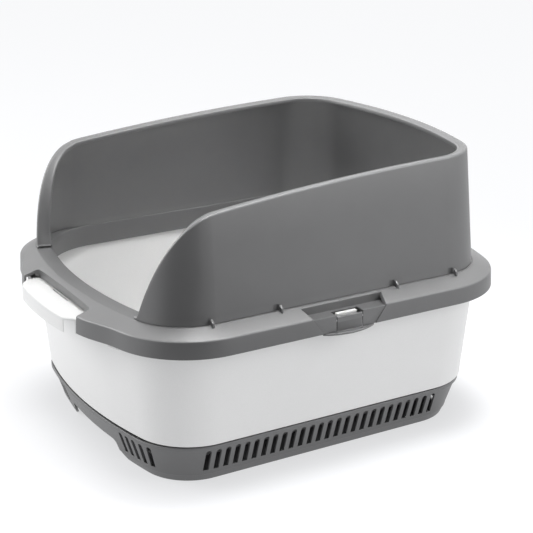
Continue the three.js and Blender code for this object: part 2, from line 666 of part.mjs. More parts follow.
function shieldShell() {
  const stations = shieldStations();
  const positions = [];
  const triangles = [];
  const sections = stations.map(shieldSection);
  const n = sections[0].length;
  stations.forEach((station, k) => {
    for (const [inward, z] of sections[k]) {
      const rise = (z - RIM_CREST) / (CROWN - RIM_CREST);
      const p = station.foot.clone().lerp(station.top, rise).addScaledVector(station.out, -inward);
      positions.push(p.x, p.y, z);
    }
  });
  for (let k = 0; k + 1 < stations.length; k += 1) {
    for (let i = 0; i < n; i += 1) {
      const j = (i + 1) % n;
      const a = k * n + i;
      const b = k * n + j;
      triangles.push(a, a + n, b + n, a, b + n, b);
    }
  }
  const cap = (k, flip) => {
    const contour = sections[k].map(([r, z]) => new THREE.Vector2(r, z));
    for (const [p, q, r] of THREE.ShapeUtils.triangulateShape(contour, [])) {
      triangles.push(k * n + p, k * n + (flip ? r : q), k * n + (flip ? q : r));
    }
  };
  cap(0, true);
  cap(stations.length - 1, false);
  return toSolid(indexed(positions, triangles));
}

// Blind pockets in the foot, one just in front of each tab of the rim.
function shield() {
  const top = SHIELD_BOTTOM + POCKET_HEIGHT;
  const pocket = box(POCKET_X, SHIELD_FOOT.a + 3, -9, -2, SHIELD_BOTTOM - 1, top);
  const pockets = [];
  for (const y of TAB_YS) {
    both((side) => pockets.push(mirrored(pocket.translate([0, y, 0]), side)));
  }
  return wasm.Manifold.difference([shieldShell(), ...pockets]);
}

// ---------- assembly ----------

const group = new THREE.Group();
group.add(node('base_frame', baseFrame(), 'grey'));
group.add(node('pad_tray', padTray(), 'tray'));
group.add(node('absorbent_pad', absorbentPad(), 'pad'));
group.add(node('litter_pan', litterPan(), 'white'));
group.add(node('floor_grid', floorGrid(), 'white'));
group.add(node('rim_frame', rimFrame(), 'rimGrey'));
for (const [name, side] of [['right', 1], ['left', -1]]) {
  group.add(node(`side_latch_${name}`, mirrored(sideLatch(), side), 'rimGrey'));
  group.add(node(`latch_pin_${name}`, mirrored(latchPin(), side), 'steel'));
}
group.add(node('shield', shield(), 'grey'));

export default group;
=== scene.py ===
# Looks for the open-top cat litter box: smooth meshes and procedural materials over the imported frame.
# Shapes are written in millimetres about the rim's middle, as in the CAD source; mesh() moves them
# into the row frame and scales them to metres.
import math
from collections import namedtuple

import bmesh
import bpy
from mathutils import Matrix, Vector


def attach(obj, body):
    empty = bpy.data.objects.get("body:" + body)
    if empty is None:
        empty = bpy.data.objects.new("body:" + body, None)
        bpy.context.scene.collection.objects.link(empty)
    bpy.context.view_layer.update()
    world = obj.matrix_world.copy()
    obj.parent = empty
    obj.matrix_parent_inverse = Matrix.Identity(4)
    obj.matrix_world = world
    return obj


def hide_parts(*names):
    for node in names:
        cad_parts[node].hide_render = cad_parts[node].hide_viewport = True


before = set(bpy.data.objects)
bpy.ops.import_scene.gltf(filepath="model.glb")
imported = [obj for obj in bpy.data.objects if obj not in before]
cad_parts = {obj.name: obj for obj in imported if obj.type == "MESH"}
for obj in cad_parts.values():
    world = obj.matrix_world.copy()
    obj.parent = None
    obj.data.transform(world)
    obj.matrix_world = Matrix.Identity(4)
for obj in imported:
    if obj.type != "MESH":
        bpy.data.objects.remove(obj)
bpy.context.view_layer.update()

MM = 0.001
CENTRING_Y = 8.75
Shape = namedtuple("Shape", "a b bow corner y")

# Plan outlines, as in the CAD source
BASE_FLOOR = Shape(174, 227, 652, 63, 0)
PAN_BOTTOM = Shape(196.5, 247, 608, 77.5, 0)
RIM_OUTER = Shape(230.6, 280, 598, 103, 0)
SHIELD_FOOT = Shape(206.3, 253.2, 659, 74.4, -2.5)
SHIELD_TOP = Shape(193.3, 247.2, 553, 68.4, -2.5)
RIM_OPENING = Shape(202.8, 242.5, 585, 80, 5)
SIDE_STEPS = 24
CORNER_STEPS = 18
END_STEPS = 36

# Heights and sizes shared by several pieces
BEVEL_TOP = 9
VENT_BOTTOM = 15.5
VENT_TOP = 45
VENT_WIDTH = 7
BASE_WALL_TOP = 47
BASE_TOP = 52.5
DECK_BOTTOM = 24.5
DECK_TOP = 27.5
PAN_FOOT = 47.3
PAN_FLOOR = 50.3
PAN_STEP = 54.9
FLANGE_BOTTOM = 190
FLANGE_TOP = 193
PAN_WALL = 3.2
PAN_DRAFT_OUT = 12.8
FLANGE_REACH = 29
HANDLE_HALF = 80
HANDLE_BACK = -262
HANDLE_FRONT = -298.5
NOTCH_BACK = -264.5
HANDLE_BOTTOM = 177.5
HANDLE_TOP = 197.8
SKIRT_BOTTOM = 181
RIM_EDGE = 202.3
RIM_CREST = 211.9
RIM_WALL = 2.6
INNER_WALL_BOTTOM = 183.5
RECESS_FLOOR = 200.5
RECESS_BACK = 211.5
WINDOW_HALF = 18.6
TAB_YS = (-172, -81.5, 81.5, 170)
LATCH_AXIS_X = 228.8
LATCH_AXIS_Z = 194
PIN_HOLE = 1.25
CROWN = 351.9
SHIELD_BOTTOM = 212.2
SWEEP_START = -15
SWEEP_END = 103.5

# Base: how far its wall leans out, its slots, and the deck inside it
BEVEL_OUT = 4.2
BASE_DRAFT_OUT = 12.8
BASE_WALL = 3
SIDE_VENTS = 26
VENT_PITCH = 13.04
VENTS_MIDDLE_Y = -4.5
FOOT_VENT_XS = (88, 101, 114, 127, 139)
FOOT_TURN_X = 118
DECK_TIE_Y = 223.7
DECK_TIE_HALF = 8.7
DECK_RIB_XS = (-110, -55, 0, 55, 110)

# Tray and pad
TRAY = Shape(162, 205, 630, 52, 0)
TRAY_TOP = 42
PAD_EDGE = Shape(154, 197, 620, 45, 0)
PAD_TOP = 37
PAD_RINGS = 40
QUILT_PITCH = 44

# Pan's floor
PAN_HOLE = Shape(160, 206, 4000, 50, 0)
GRID_EDGE = Shape(176, 226, 600, 58, 0)
GRID_THICK = 3
SLOT_COLUMNS = 13
SLOT_ROWS = 5
SLOT_PITCH_X = 24
SLOT_PITCH_Y = 80
SLOT_HALF = 29
SLOT_RADIUS = 4
GUSSET_X = 118
GUSSET_THICK = 3

# Rim and latches
RIM_FLARE = 9
FLARE_END_X = 145
FLARE_RUN = 60
SKIRT_OUT = 1.1
NOTCH_HALF = 81.2
RECESS_INNER_X = 209.1
FACET_X = 230.2
PAST_RIM_X = 236
LATCH_HALF = 17.6
LIP_HALF = 36.5

# Shield
SHIELD_WALL = 3
TOP_FACE = 13
TOP_FACE_GROWTH = 6.5
SWEEP_POWER = 2.5
SWEPT_STATIONS = 60

# The studio: a white room whose gloss has one dim side, and the levels of its light
DIM_SIDE = (0.89, -0.454, 0)
DIM_FROM = 0.6
DIM_FULL = 0.93
DIM_LEVEL = 0.03
GLOSS_LEVEL = 1.25
GLOSS_TOP_LEVEL = 2.4
GLOSS_RISE_FROM = 0.3
SKY_TOP = 0.8
HORIZON_LEVEL = 0.36
ZENITH_LEVEL = 0.5
BACKDROP_LEVEL = 1.2
WHITE_LIGHT = (1, 1, 1, 1)

# The floor, in metres: its glow is off under the box and shaded close to it
FLOOR_HALF = 6
FLOOR_COLOUR = (0.22, 0.222, 0.23)
FLOOR_TINT = (0.985, 0.99, 1, 1)
FLOOR_GLOW = 0.84
UNDER_BOX = (0.108, 0.152, 0)
UNDER_CORNER = 0.063
UNDER_FADE = 0.008
CONTACT_REACH = 0.11
CONTACT_LEVEL = 0.74
DIM_FLOOR_FROM = 0.35
DIM_FLOOR_FULL = 0.65
DIM_FLOOR_COLOUR = (0.04, 0.04, 0.04, 1)

# Lamps and camera, in metres
LIT_POINT = (0, 0, 0.25)
SIDE_LAMP_SIZE = 1.4
LENS = 97.83
CAMERA_PLACE = (1.54842, -0.88842 + CENTRING_Y * MM, 0.81651)
CAMERA_AIM = (-0.81331, 0.47792, -0.33185)


# ---------- outlines and rings ----------

def grow(s, d):
    """The outline moved outwards by d all round."""
    return Shape(s.a + d, s.b + d, s.bow + d, s.corner + d, s.y)


def corners(s):
    """The angle a corner arc turns through, and the y where it meets the straight side."""
    angle = math.acos((s.a - s.corner) / (s.bow - s.corner))
    return angle, s.b - s.bow + (s.bow - s.corner) * math.sin(angle)


def corner_point(s, t):
    angle, side_y = corners(s)
    return s.a - s.corner + s.corner * math.cos(angle * t), side_y + s.corner * math.sin(angle * t)


def end_point(s, t):
    angle, _ = corners(s)
    turn = angle + (math.pi - 2 * angle) * t
    return s.bow * math.cos(turn), s.b - s.bow + s.bow * math.sin(turn)


def flare_at(x, flare):
    """How far the front bulges at x, easing from nothing beside the corners to the full flare."""
    t = min(max((FLARE_END_X - abs(x)) / FLARE_RUN, 0), 1)
    return flare * t * t * (3 - 2 * t)


def outline(s, flare=0):
    """The closed outline, counter-clockwise, with the same number of points for every shape."""
    _, side_y = corners(s)
    half = [(s.a, side_y * (2 * i / SIDE_STEPS - 1)) for i in range(SIDE_STEPS)]
    half += [corner_point(s, i / CORNER_STEPS) for i in range(CORNER_STEPS)]
    half += [end_point(s, i / END_STEPS) for i in range(END_STEPS)]
    for i in range(CORNER_STEPS, 0, -1):
        x, y = corner_point(s, i / CORNER_STEPS)
        half.append((-x, y))
    whole = half + [(-x, -y) for x, y in half]
    return [(x, y - flare_at(x, flare) * (y < 0) + s.y) for x, y in whole]


def ring(s, z, d=0, flare=0):
    return [Vector((x, y, z)) for x, y in outline(grow(s, d), flare)]


def rounded(rings, radii, steps=4, closed=True):
    """Rounds the profile through the rings: each ring with a radius becomes a small curve of rings."""
    out = []
    count = len(rings)
    for k, radius in enumerate(radii):
        if not radius or (not closed and k in (0, count - 1)):
            out.append(rings[k])
            continue
        before, after = rings[k - 1], rings[(k + 1) % count]
        fresh = [[] for _ in range(steps + 1)]
        for p, a, b in zip(rings[k], before, after):
            pa = p + (a - p).normalized() * min(radius, (a - p).length * 0.48)
            pb = p + (b - p).normalized() * min(radius, (b - p).length * 0.48)
            for i in range(steps + 1):
                t = i / steps
                fresh[i].append(pa * (1 - t) ** 2 + p * (2 * t * (1 - t)) + pb * t * t)
        out += fresh
    return out


# ---------- meshes ----------

def mesh(name, verts, faces, smooth_angle=32):
    data = bpy.data.meshes.new(name)
    moved = [(x * MM, (y + CENTRING_Y) * MM, z * MM) for x, y, z in verts]
    data.from_pydata(moved, [], faces)
    data.validate()
    obj = bpy.data.objects.new(name, data)
    bpy.context.collection.objects.link(obj)
    tidy(obj, smooth_angle)
    return obj


def tidy(obj, smooth_angle=32):
    """Welds doubles, points faces out and shades smooth up to an angle."""
    bm = bmesh.new()
    bm.from_mesh(obj.data)
    bmesh.ops.remove_doubles(bm, verts=bm.verts, dist=2e-6)
    bmesh.ops.dissolve_degenerate(bm, edges=bm.edges, dist=1e-6)
    bmesh.ops.recalc_face_normals(bm, faces=bm.faces)
    for face in bm.faces:
        face.smooth = True
    for edge in bm.edges:
        edge.smooth = len(edge.link_faces) == 2 and edge.calc_face_angle(0) < math.radians(smooth_angle)
    bm.to_mesh(obj.data)
    bm.free()


def bridge(rings, closed):
    """Quads between neighbouring rings; a closed profile also joins the last ring to the first."""
    n = len(rings[0])
    verts = [tuple(p) for r in rings for p in r]
    faces = []
    spans = len(rings) if closed else len(rings) - 1
    for k in range(spans):
        low, high = k * n, ((k + 1) % len(rings)) * n
        for i in range(n):
            j = (i + 1) % n
            faces.append((low + i, low + j, high + j, high + i))
    return verts, faces


def ring_body(name, rings, radii, steps=4):
    """An annular body: the profile through the rings is closed."""
    return mesh(name, *bridge(rounded(rings, radii, steps), True))


def capped_body(name, rings, radii, steps=4):
    """A solid body through the rings, with a flat face on the first and the last."""
    smooth = rounded(rings, radii, steps, closed=False)
    verts, faces = bridge(smooth, False)
    n = len(rings[0])
    faces.append(tuple(range(n - 1, -1, -1)))
    faces.append(tuple(range(len(verts) - n, len(verts))))
    return mesh(name, verts, faces)


def prism(name, points, axis, low, high):
    """Points drawn in the plane across an axis: (y, z) for x, (x, z) for y and (x, y) for z."""
    def place(u, v, w):
        return {"x": (w, u, v), "y": (u, w, v), "z": (u, v, w)}[axis]
    n = len(points)
    verts = [place(u, v, low) for u, v in points] + [place(u, v, high) for u, v in points]
    faces = [(i, (i + 1) % n, (i + 1) % n + n, i + n) for i in range(n)]
    faces += [tuple(range(n - 1, -1, -1)), tuple(range(n, 2 * n))]
    return mesh(name, verts, faces)


def span(side, x0, x1):
    """The low and high x of a stretch drawn on the right, for the side given as 1 or -1."""
    return sorted((side * x0, side * x1))


def block(name, x0, x1, y0, y1, z0, z1):
    return prism(name, [(x0, y0), (x1, y0), (x1, y1), (x0, y1)], "z", z0, z1)


def rod(name, radius, x, z, y0, y1, sides=32):
    turns = [2 * math.pi * i / sides for i in range(sides)]
    return prism(name, [(x + radius * math.cos(t), z + radius * math.sin(t)) for t in turns], "y", y0, y1)


def arc(cx, cy, r, start, end, steps=8):
    turns = [math.radians(start + (end - start) * i / steps) for i in range(steps + 1)]
    return [(cx + r * math.cos(t), cy + r * math.sin(t)) for t in turns]


def rounded_rect(x0, x1, y0, y1, r, steps=8):
    return (arc(x1 - r, y0 + r, r, -90, 0, steps) + arc(x1 - r, y1 - r, r, 0, 90, steps)
            + arc(x0 + r, y1 - r, r, 90, 180, steps) + arc(x0 + r, y0 + r, r, 180, 270, steps))


def curve2(p, q, r, steps=8):
    """Points of a quadratic curve from p to r, drawn towards q."""
    points = []
    for i in range(1, steps + 1):
        t = i / steps
        points.append(tuple(a * (1 - t) ** 2 + 2 * b * t * (1 - t) + c * t * t for a, b, c in zip(p, q, r)))
    return points


def apply_modifiers(obj):
    graph = bpy.context.evaluated_depsgraph_get()
    fresh = bpy.data.meshes.new_from_object(obj.evaluated_get(graph))
    obj.modifiers.clear()
    old = obj.data
    obj.data = fresh
    bpy.data.meshes.remove(old)
    obj.data.name = obj.name
    return obj


def combine(obj, others, operation, smooth_angle=32):
    """Joins or cuts each of the others into obj and removes them."""
    for other in others:
        modifier = obj.modifiers.new("combine", "BOOLEAN")
        modifier.operation = operation
        modifier.solver = "EXACT"
        modifier.object = other
        bpy.context.view_layer.update()
        apply_modifiers(obj)
        data = other.data
        bpy.data.objects.remove(other)
        bpy.data.meshes.remove(data)
    tidy(obj, smooth_angle)
    return obj


def merge(objects, name):
    """One object from several meshes that stay separate shells."""
    bm = bmesh.new()
    for obj in objects:
        bm.from_mesh(obj.data)
    data = bpy.data.meshes.new(name)
    bm.to_mesh(data)
    bm.free()
    for obj in objects:
        old = obj.data
        bpy.data.objects.remove(obj)
        bpy.data.meshes.remove(old)
    merged = bpy.data.objects.new(name, data)
    bpy.context.collection.objects.link(merged)
    return merged


def bevelled(obj, width, segments=3, angle=30):
    modifier = obj.modifiers.new("bevel", "BEVEL")
    modifier.width = width * MM
    modifier.segments = segments
    modifier.limit_method = "ANGLE"
    modifier.angle_limit = math.radians(angle)
    bpy.context.view_layer.update()
    apply_modifiers(obj)
    tidy(obj)
    return obj


def mirror(obj, name):
    """A copy mirrored from the right side to the left."""
    data = obj.data.copy()
    for v in data.vertices:
        v.co.x = -v.co.x
    data.flip_normals()
    other = bpy.data.objects.new(name, data)
    bpy.context.collection.objects.link(other)
    return other


def finish_piece(obj, material, body, nodes=()):
    obj.data.materials.clear()
    obj.data.materials.append(material)
    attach(obj, body)
    if nodes:
        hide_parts(*nodes)
    return obj


# ---------- materials ----------

# Plastic: sizes in the object's metres, how strongly each mark shows, and the pointiness where the painted
# edge highlight starts and is full
FLOW_MARK_SCALE = 14
SPECKLE_AMOUNT = 0.1
EDGE_HIGHLIGHT_FROM = 0.51
EDGE_HIGHLIGHT_FULL = 0.62
EDGE_RADIUS = 0.0007


def plastic(name, colour, roughness, grain, grain_depth, mottle=0.06, shine=0.5, edge=0.35):
    """Moulded plastic: a fine sparked texture, faint flow marks, softened edges, and a painted highlight
    that lightens the sharp edges.
    """
    material = bpy.data.materials.new(name)
    material.use_nodes = True
    nodes, links = material.node_tree.nodes, material.node_tree.links
    shader = nodes["Principled BSDF"]
    shader.inputs["Specular IOR Level"].default_value = shine
    shader.inputs["IOR"].default_value = 1.5

    place = nodes.new("ShaderNodeTexCoord")
    fine = nodes.new("ShaderNodeTexNoise")
    fine.inputs["Scale"].default_value = grain
    fine.inputs["Detail"].default_value = 3
    broad = nodes.new("ShaderNodeTexNoise")
    broad.inputs["Scale"].default_value = FLOW_MARK_SCALE
    broad.inputs["Detail"].default_value = 5
    broad.inputs["Roughness"].default_value = 0.6
    specks = nodes.new("ShaderNodeTexVoronoi")
    specks.inputs["Scale"].default_value = grain * 0.6
    for texture in (fine, broad, specks):
        links.new(place.outputs["Object"], texture.inputs["Vector"])

    tint = nodes.new("ShaderNodeValToRGB")
    tint.color_ramp.elements[0].position = 0.3
    tint.color_ramp.elements[1].position = 0.7
    tint.color_ramp.elements[0].color = (*[c * (1 - mottle) for c in colour], 1)
    tint.color_ramp.elements[1].color = (*[min(1, c * (1 + mottle)) for c in colour], 1)
    links.new(broad.outputs["Fac"], tint.inputs["Fac"])

    speckle = nodes.new("ShaderNodeMix")
    speckle.data_type = "RGBA"
    speckle.blend_type = "MULTIPLY"
    speckle.inputs["Factor"].default_value = SPECKLE_AMOUNT
    links.new(tint.outputs["Color"], speckle.inputs["A"])
    links.new(fine.outputs["Fac"], speckle.inputs["B"])

    # Painted highlight: sharp edges, found by pointiness, are mixed towards a lighter colour; edge sets how
    # strongly.
    edge_pointiness = nodes.new("ShaderNodeNewGeometry")
    edges = nodes.new("ShaderNodeValToRGB")
    edges.color_ramp.elements[0].position = EDGE_HIGHLIGHT_FROM
    edges.color_ramp.elements[1].position = EDGE_HIGHLIGHT_FULL
    links.new(edge_pointiness.outputs["Pointiness"], edges.inputs["Fac"])
    strength = nodes.new("ShaderNodeMath")
    strength.operation = "MULTIPLY"
    strength.inputs[1].default_value = edge
    links.new(edges.outputs["Color"], strength.inputs[0])
    edge_highlight = nodes.new("ShaderNodeMix")
    edge_highlight.data_type = "RGBA"
    edge_highlight.inputs["B"].default_value = (*[min(1, c * 1.6 + 0.02) for c in colour], 1)
    links.new(strength.outputs["Value"], edge_highlight.inputs["Factor"])
    links.new(speckle.outputs["Result"], edge_highlight.inputs["A"])
    links.new(edge_highlight.outputs["Result"], shader.inputs["Base Color"])

    rough = nodes.new("ShaderNodeMapRange")
    rough.inputs["To Min"].default_value = roughness - 0.05
    rough.inputs["To Max"].default_value = roughness + 0.06
    links.new(broad.outputs["Fac"], rough.inputs["Value"])
    links.new(rough.outputs["Result"], shader.inputs["Roughness"])

    soft = nodes.new("ShaderNodeBevel")
    soft.samples = 4
    soft.inputs["Radius"].default_value = EDGE_RADIUS
    sparked = nodes.new("ShaderNodeBump")
    sparked.inputs["Strength"].default_value = 0.5
    sparked.inputs["Distance"].default_value = grain_depth
    links.new(fine.outputs["Fac"], sparked.inputs["Height"])
    links.new(soft.outputs["Normal"], sparked.inputs["Normal"])
    pitted = nodes.new("ShaderNodeBump")
    pitted.inputs["Strength"].default_value = 0.35
    pitted.inputs["Distance"].default_value = grain_depth * 0.7
    links.new(specks.outputs["Distance"], pitted.inputs["Height"])
    links.new(sparked.outputs["Normal"], pitted.inputs["Normal"])
    links.new(pitted.outputs["Normal"], shader.inputs["Normal"])
    return material


def nonwoven(name):
    """Soft pressed fibre: crossing fine fibres, embossed dots and a dull sheen."""
    material = bpy.data.materials.new(name)
    material.use_nodes = True
    nodes, links = material.node_tree.nodes, material.node_tree.links
    shader = nodes["Principled BSDF"]
    shader.inputs["Roughness"].default_value = 0.95
    shader.inputs["Sheen Weight"].default_value = 0.3
    place = nodes.new("ShaderNodeTexCoord")
    fibres = nodes.new("ShaderNodeTexNoise")
    fibres.inputs["Scale"].default_value = 900
    fibres.inputs["Detail"].default_value = 6
    fibres.inputs["Distortion"].default_value = 1.5
    dots = nodes.new("ShaderNodeTexVoronoi")
    dots.inputs["Scale"].default_value = 260
    for texture in (fibres, dots):
        links.new(place.outputs["Object"], texture.inputs["Vector"])
    tint = nodes.new("ShaderNodeValToRGB")
    tint.color_ramp.elements[0].color = (0.74, 0.73, 0.69, 1)
    tint.color_ramp.elements[1].color = (0.9, 0.895, 0.87, 1)
    links.new(fibres.outputs["Fac"], tint.inputs["Fac"])
    links.new(tint.outputs["Color"], shader.inputs["Base Color"])
    fuzz = nodes.new("ShaderNodeBump")
    fuzz.inputs["Strength"].default_value = 0.6
    fuzz.inputs["Distance"].default_value = 0.0004
    links.new(fibres.outputs["Fac"], fuzz.inputs["Height"])
    emboss = nodes.new("ShaderNodeBump")
    emboss.inputs["Strength"].default_value = 0.5
    emboss.inputs["Distance"].default_value = 0.0005
    links.new(dots.outputs["Distance"], emboss.inputs["Height"])
    links.new(fuzz.outputs["Normal"], emboss.inputs["Normal"])
    links.new(emboss.outputs["Normal"], shader.inputs["Normal"])
    return material


def drawn_wire(name):
    """Bright drawn steel wire with fine lines along its length."""
    material = bpy.data.materials.new(name)
    material.use_nodes = True
    nodes, links = material.node_tree.nodes, material.node_tree.links
    shader = nodes["Principled BSDF"]
    shader.inputs["Metallic"].default_value = 1
    place = nodes.new("ShaderNodeTexCoord")
    stretch = nodes.new("ShaderNodeMapping")
    stretch.inputs["Scale"].default_value = (4000, 60, 4000)
    lines = nodes.new("ShaderNodeTexNoise")
    lines.inputs["Scale"].default_value = 1
    lines.inputs["Detail"].default_value = 3
    links.new(place.outputs["Object"], stretch.inputs["Vector"])
    links.new(stretch.outputs["Vector"], lines.inputs["Vector"])
    tint = nodes.new("ShaderNodeValToRGB")
    tint.color_ramp.elements[0].color = (0.5, 0.5, 0.51, 1)
    tint.color_ramp.elements[1].color = (0.72, 0.72, 0.73, 1)
    links.new(lines.outputs["Fac"], tint.inputs["Fac"])
    links.new(tint.outputs["Color"], shader.inputs["Base Color"])
    rough = nodes.new("ShaderNodeMapRange")
    rough.inputs["To Min"].default_value = 0.22
    rough.inputs["To Max"].default_value = 0.4
    links.new(lines.outputs["Fac"], rough.inputs["Value"])
    links.new(rough.outputs["Result"], shader.inputs["Roughness"])
    return material


GREY_COLOUR = (0.09, 0.0905, 0.092)
GREY = plastic("grey_plastic", GREY_COLOUR, 0.42, 1500, 0.0001, shine=1.0)
RIM_GREY = plastic("rim_plastic", GREY_COLOUR, 0.42, 1500, 0.0001, shine=1.0)
DARK = plastic("tray_plastic", (0.06, 0.061, 0.063), 0.5, 1300, 0.00012)
WHITE = plastic("pan_plastic", (0.72, 0.72, 0.717), 0.35, 900, 0.00004, mottle=0.012, edge=0.1)
PAD = nonwoven("pad_fibre")
STEEL = drawn_wire("pin_wire")


# ---------- base ----------

def base_offset(z):
    """How far out of the floor outline the base's wall is at height z."""
    if z <= BEVEL_TOP:
        return z / BEVEL_TOP * BEVEL_OUT
    return BEVEL_OUT + (z - BEVEL_TOP) / (BASE_WALL_TOP - BEVEL_TOP) * BASE_DRAFT_OUT


def vent_points():
    """A slot's outline: square at its foot, round at its top."""
    r = VENT_WIDTH / 2
    return [(-r, VENT_BOTTOM), (r, VENT_BOTTOM)] + arc(0, VENT_TOP - r, r, 0, 180, 10)


def turned(points, turn, cx, cy, low, high):
    """A slot cutter drawn in (x, z), run along y, turned about Z and moved to (cx, cy)."""
    obj = prism("cut", points, "y", low, high)
    cos, sin = math.cos(turn), math.sin(turn)
    for v in obj.data.vertices:
        x, y = v.co.x / MM, v.co.y / MM - CENTRING_Y
        v.co.x = (cx + x * cos - y * sin) * MM
        v.co.y = (cy + x * sin + y * cos + CENTRING_Y) * MM
    return obj


def vents():
    """Cutters for the slots along both sides and round the four feet."""
    cuts = []
    for i in range(SIDE_VENTS):
        y = VENTS_MIDDLE_Y + (i - (SIDE_VENTS - 1) / 2) * VENT_PITCH
        points = [(u + y, v) for u, v in vent_points()]
        for x0, x1 in ((172, 196), (-196, -172)):
            cuts.append(prism("cut", points, "x", x0, x1))
    for x in FOOT_VENT_XS:
        past = max(0, x - FOOT_TURN_X)
        turn = x / BASE_FLOOR.bow + past / 70
        y = 236 - x * x / (2 * BASE_FLOOR.bow) - past * 0.16
        for sx in (1, -1):
            for sy in (1, -1):
                cuts.append(turned(vent_points(), -turn * sx * sy, sx * x, sy * y, -12, 12))
    return merge(cuts, "vents")


def arch_points():
    """The cut-out between the front feet, flared at the floor."""
    half, spread, top = 66, 18, 23.8
    right = [(half + spread, -1)]
    right += curve2((half + spread, -1), (half + 2, 4), (half, 14))
    right += curve2((half, 14), (half, top), (half - 9, top))
    return right + [(-x, z) for x, z in reversed(right)]


def base():
    d = base_offset
    profile = [(0, 0), (3.8, BEVEL_TOP - 0.3), (4.7, BEVEL_TOP + 0.3), (d(14.5), 14.5), (d(46.6), 46.6)]
    profile += [(19.5, 47.3), (19.5, BASE_TOP), (16, BASE_TOP), (16, BASE_WALL_TOP), (5, BASE_WALL_TOP)]
    profile += [(5, 45.3), (d(45.3) - BASE_WALL, 45.3), (d(BEVEL_TOP) - BASE_WALL, BEVEL_TOP)]
    profile += [(-BASE_WALL, 0)]
    radii = [0.7, 0.15, 0.3, 0, 0.5, 0.6, 0.9, 0.9, 0, 0.4, 0.4, 0, 0.5, 0.5]
    wall = ring_body("base_wall", [ring(BASE_FLOOR, z, o) for o, z in profile], radii, 3)
    combine(wall, [vents(), prism("arch", arch_points(), "y", -262, -190)], "DIFFERENCE")
    finish_piece(wall, GREY, "base", ["base_frame"])

    deck = prism("base_deck", rounded_rect(-160, 160, -216, 216, 58, 14), "z", DECK_BOTTOM, DECK_TOP)
    ties = []
    for y in (-DECK_TIE_Y, DECK_TIE_Y):
        ties.append(block("tie", -60, 60, y - DECK_TIE_HALF, y + DECK_TIE_HALF, DECK_BOTTOM, DECK_TOP))
    combine(deck, ties, "UNION")
    bevelled(deck, 0.6, 2)
    finish_piece(deck, GREY, "base", ())
    ribs = []
    for x in DECK_RIB_XS:
        rib = block("rib", x - 1.2, x + 1.2, -205, 205, DECK_BOTTOM - 7, DECK_BOTTOM + 0.5)
        ribs.append(bevelled(rib, 0.4, 2))
    finish_piece(merge(ribs, "deck_ribs"), GREY, "base", ())


def pad_tray():
    s, low, top = TRAY, DECK_TOP + 0.3, TRAY_TOP
    rings = [ring(s, low, -3), ring(s, top - 2, 0), ring(s, top - 1.9, 3), ring(s, top, 3),
             ring(s, top, -2.2), ring(s, low + 2, -5)]
    tray = capped_body("drip_tray", rings, [0, 0.4, 0.6, 0.8, 1.2, 0], 3)
    finish_piece(tray, DARK, "base", ["pad_tray"])


def absorbent_pad():
    """A quilted pad: crowned between its sewn channels, pinched at its edge."""
    low = DECK_TOP + 2.6
    edge = outline(PAD_EDGE)
    shrink = [1, 0.985, 0.965] + [0.94 - 0.94 * i / PAD_RINGS for i in range(PAD_RINGS + 1)]
    verts, faces = [], []
    n = len(edge)

    def height(x, y, k):
        if k == 0:
            return 2.2
        if k == 1:
            return 3.4
        quilt = abs(math.sin(math.pi * x / QUILT_PITCH)) * abs(math.sin(math.pi * y / QUILT_PITCH))
        rise = min(1, (k - 1) / 5)
        return 3.4 + rise * (0.9 + 2.3 * quilt ** 0.45)
    for k, scale in enumerate(shrink[:-1]):
        for x, y in edge:
            px, py = x * scale, y * scale
            verts.append((px, py, min(PAD_TOP, low + height(px, py, k))))
    last = len(shrink) - 1
    verts.append((0, 0, low + height(0, 0, last)))
    for k in range(last - 1):
        for i in range(n):
            j = (i + 1) % n
            faces.append((k * n + i, k * n + j, (k + 1) * n + j, (k + 1) * n + i))
    hub = len(verts) - 1
    for i in range(n):
        faces.append(((last - 1) * n + i, (last - 1) * n + (i + 1) % n, hub))
    start = len(verts)
    verts += [(x, y, low + 1) for x, y in edge] + [(x * 0.985, y * 0.985, low) for x, y in edge]
    for i in range(n):
        j = (i + 1) % n
        faces.append((start + i, start + j, j, i))
        faces.append((start + n + i, start + n + j, start + j, start + i))
    faces.append(tuple(start + n + i for i in range(n - 1, -1, -1)))
    pad = mesh("pad", verts, faces, 60)
    finish_piece(pad, PAD, "base", ["absorbent_pad"])


# ---------- litter pan ----------

def pan_offset(z):
    """How far out of the bottom outline the pan's wall is at height z."""
    return (z - PAN_STEP) / (FLANGE_BOTTOM - PAN_STEP) * PAN_DRAFT_OUT


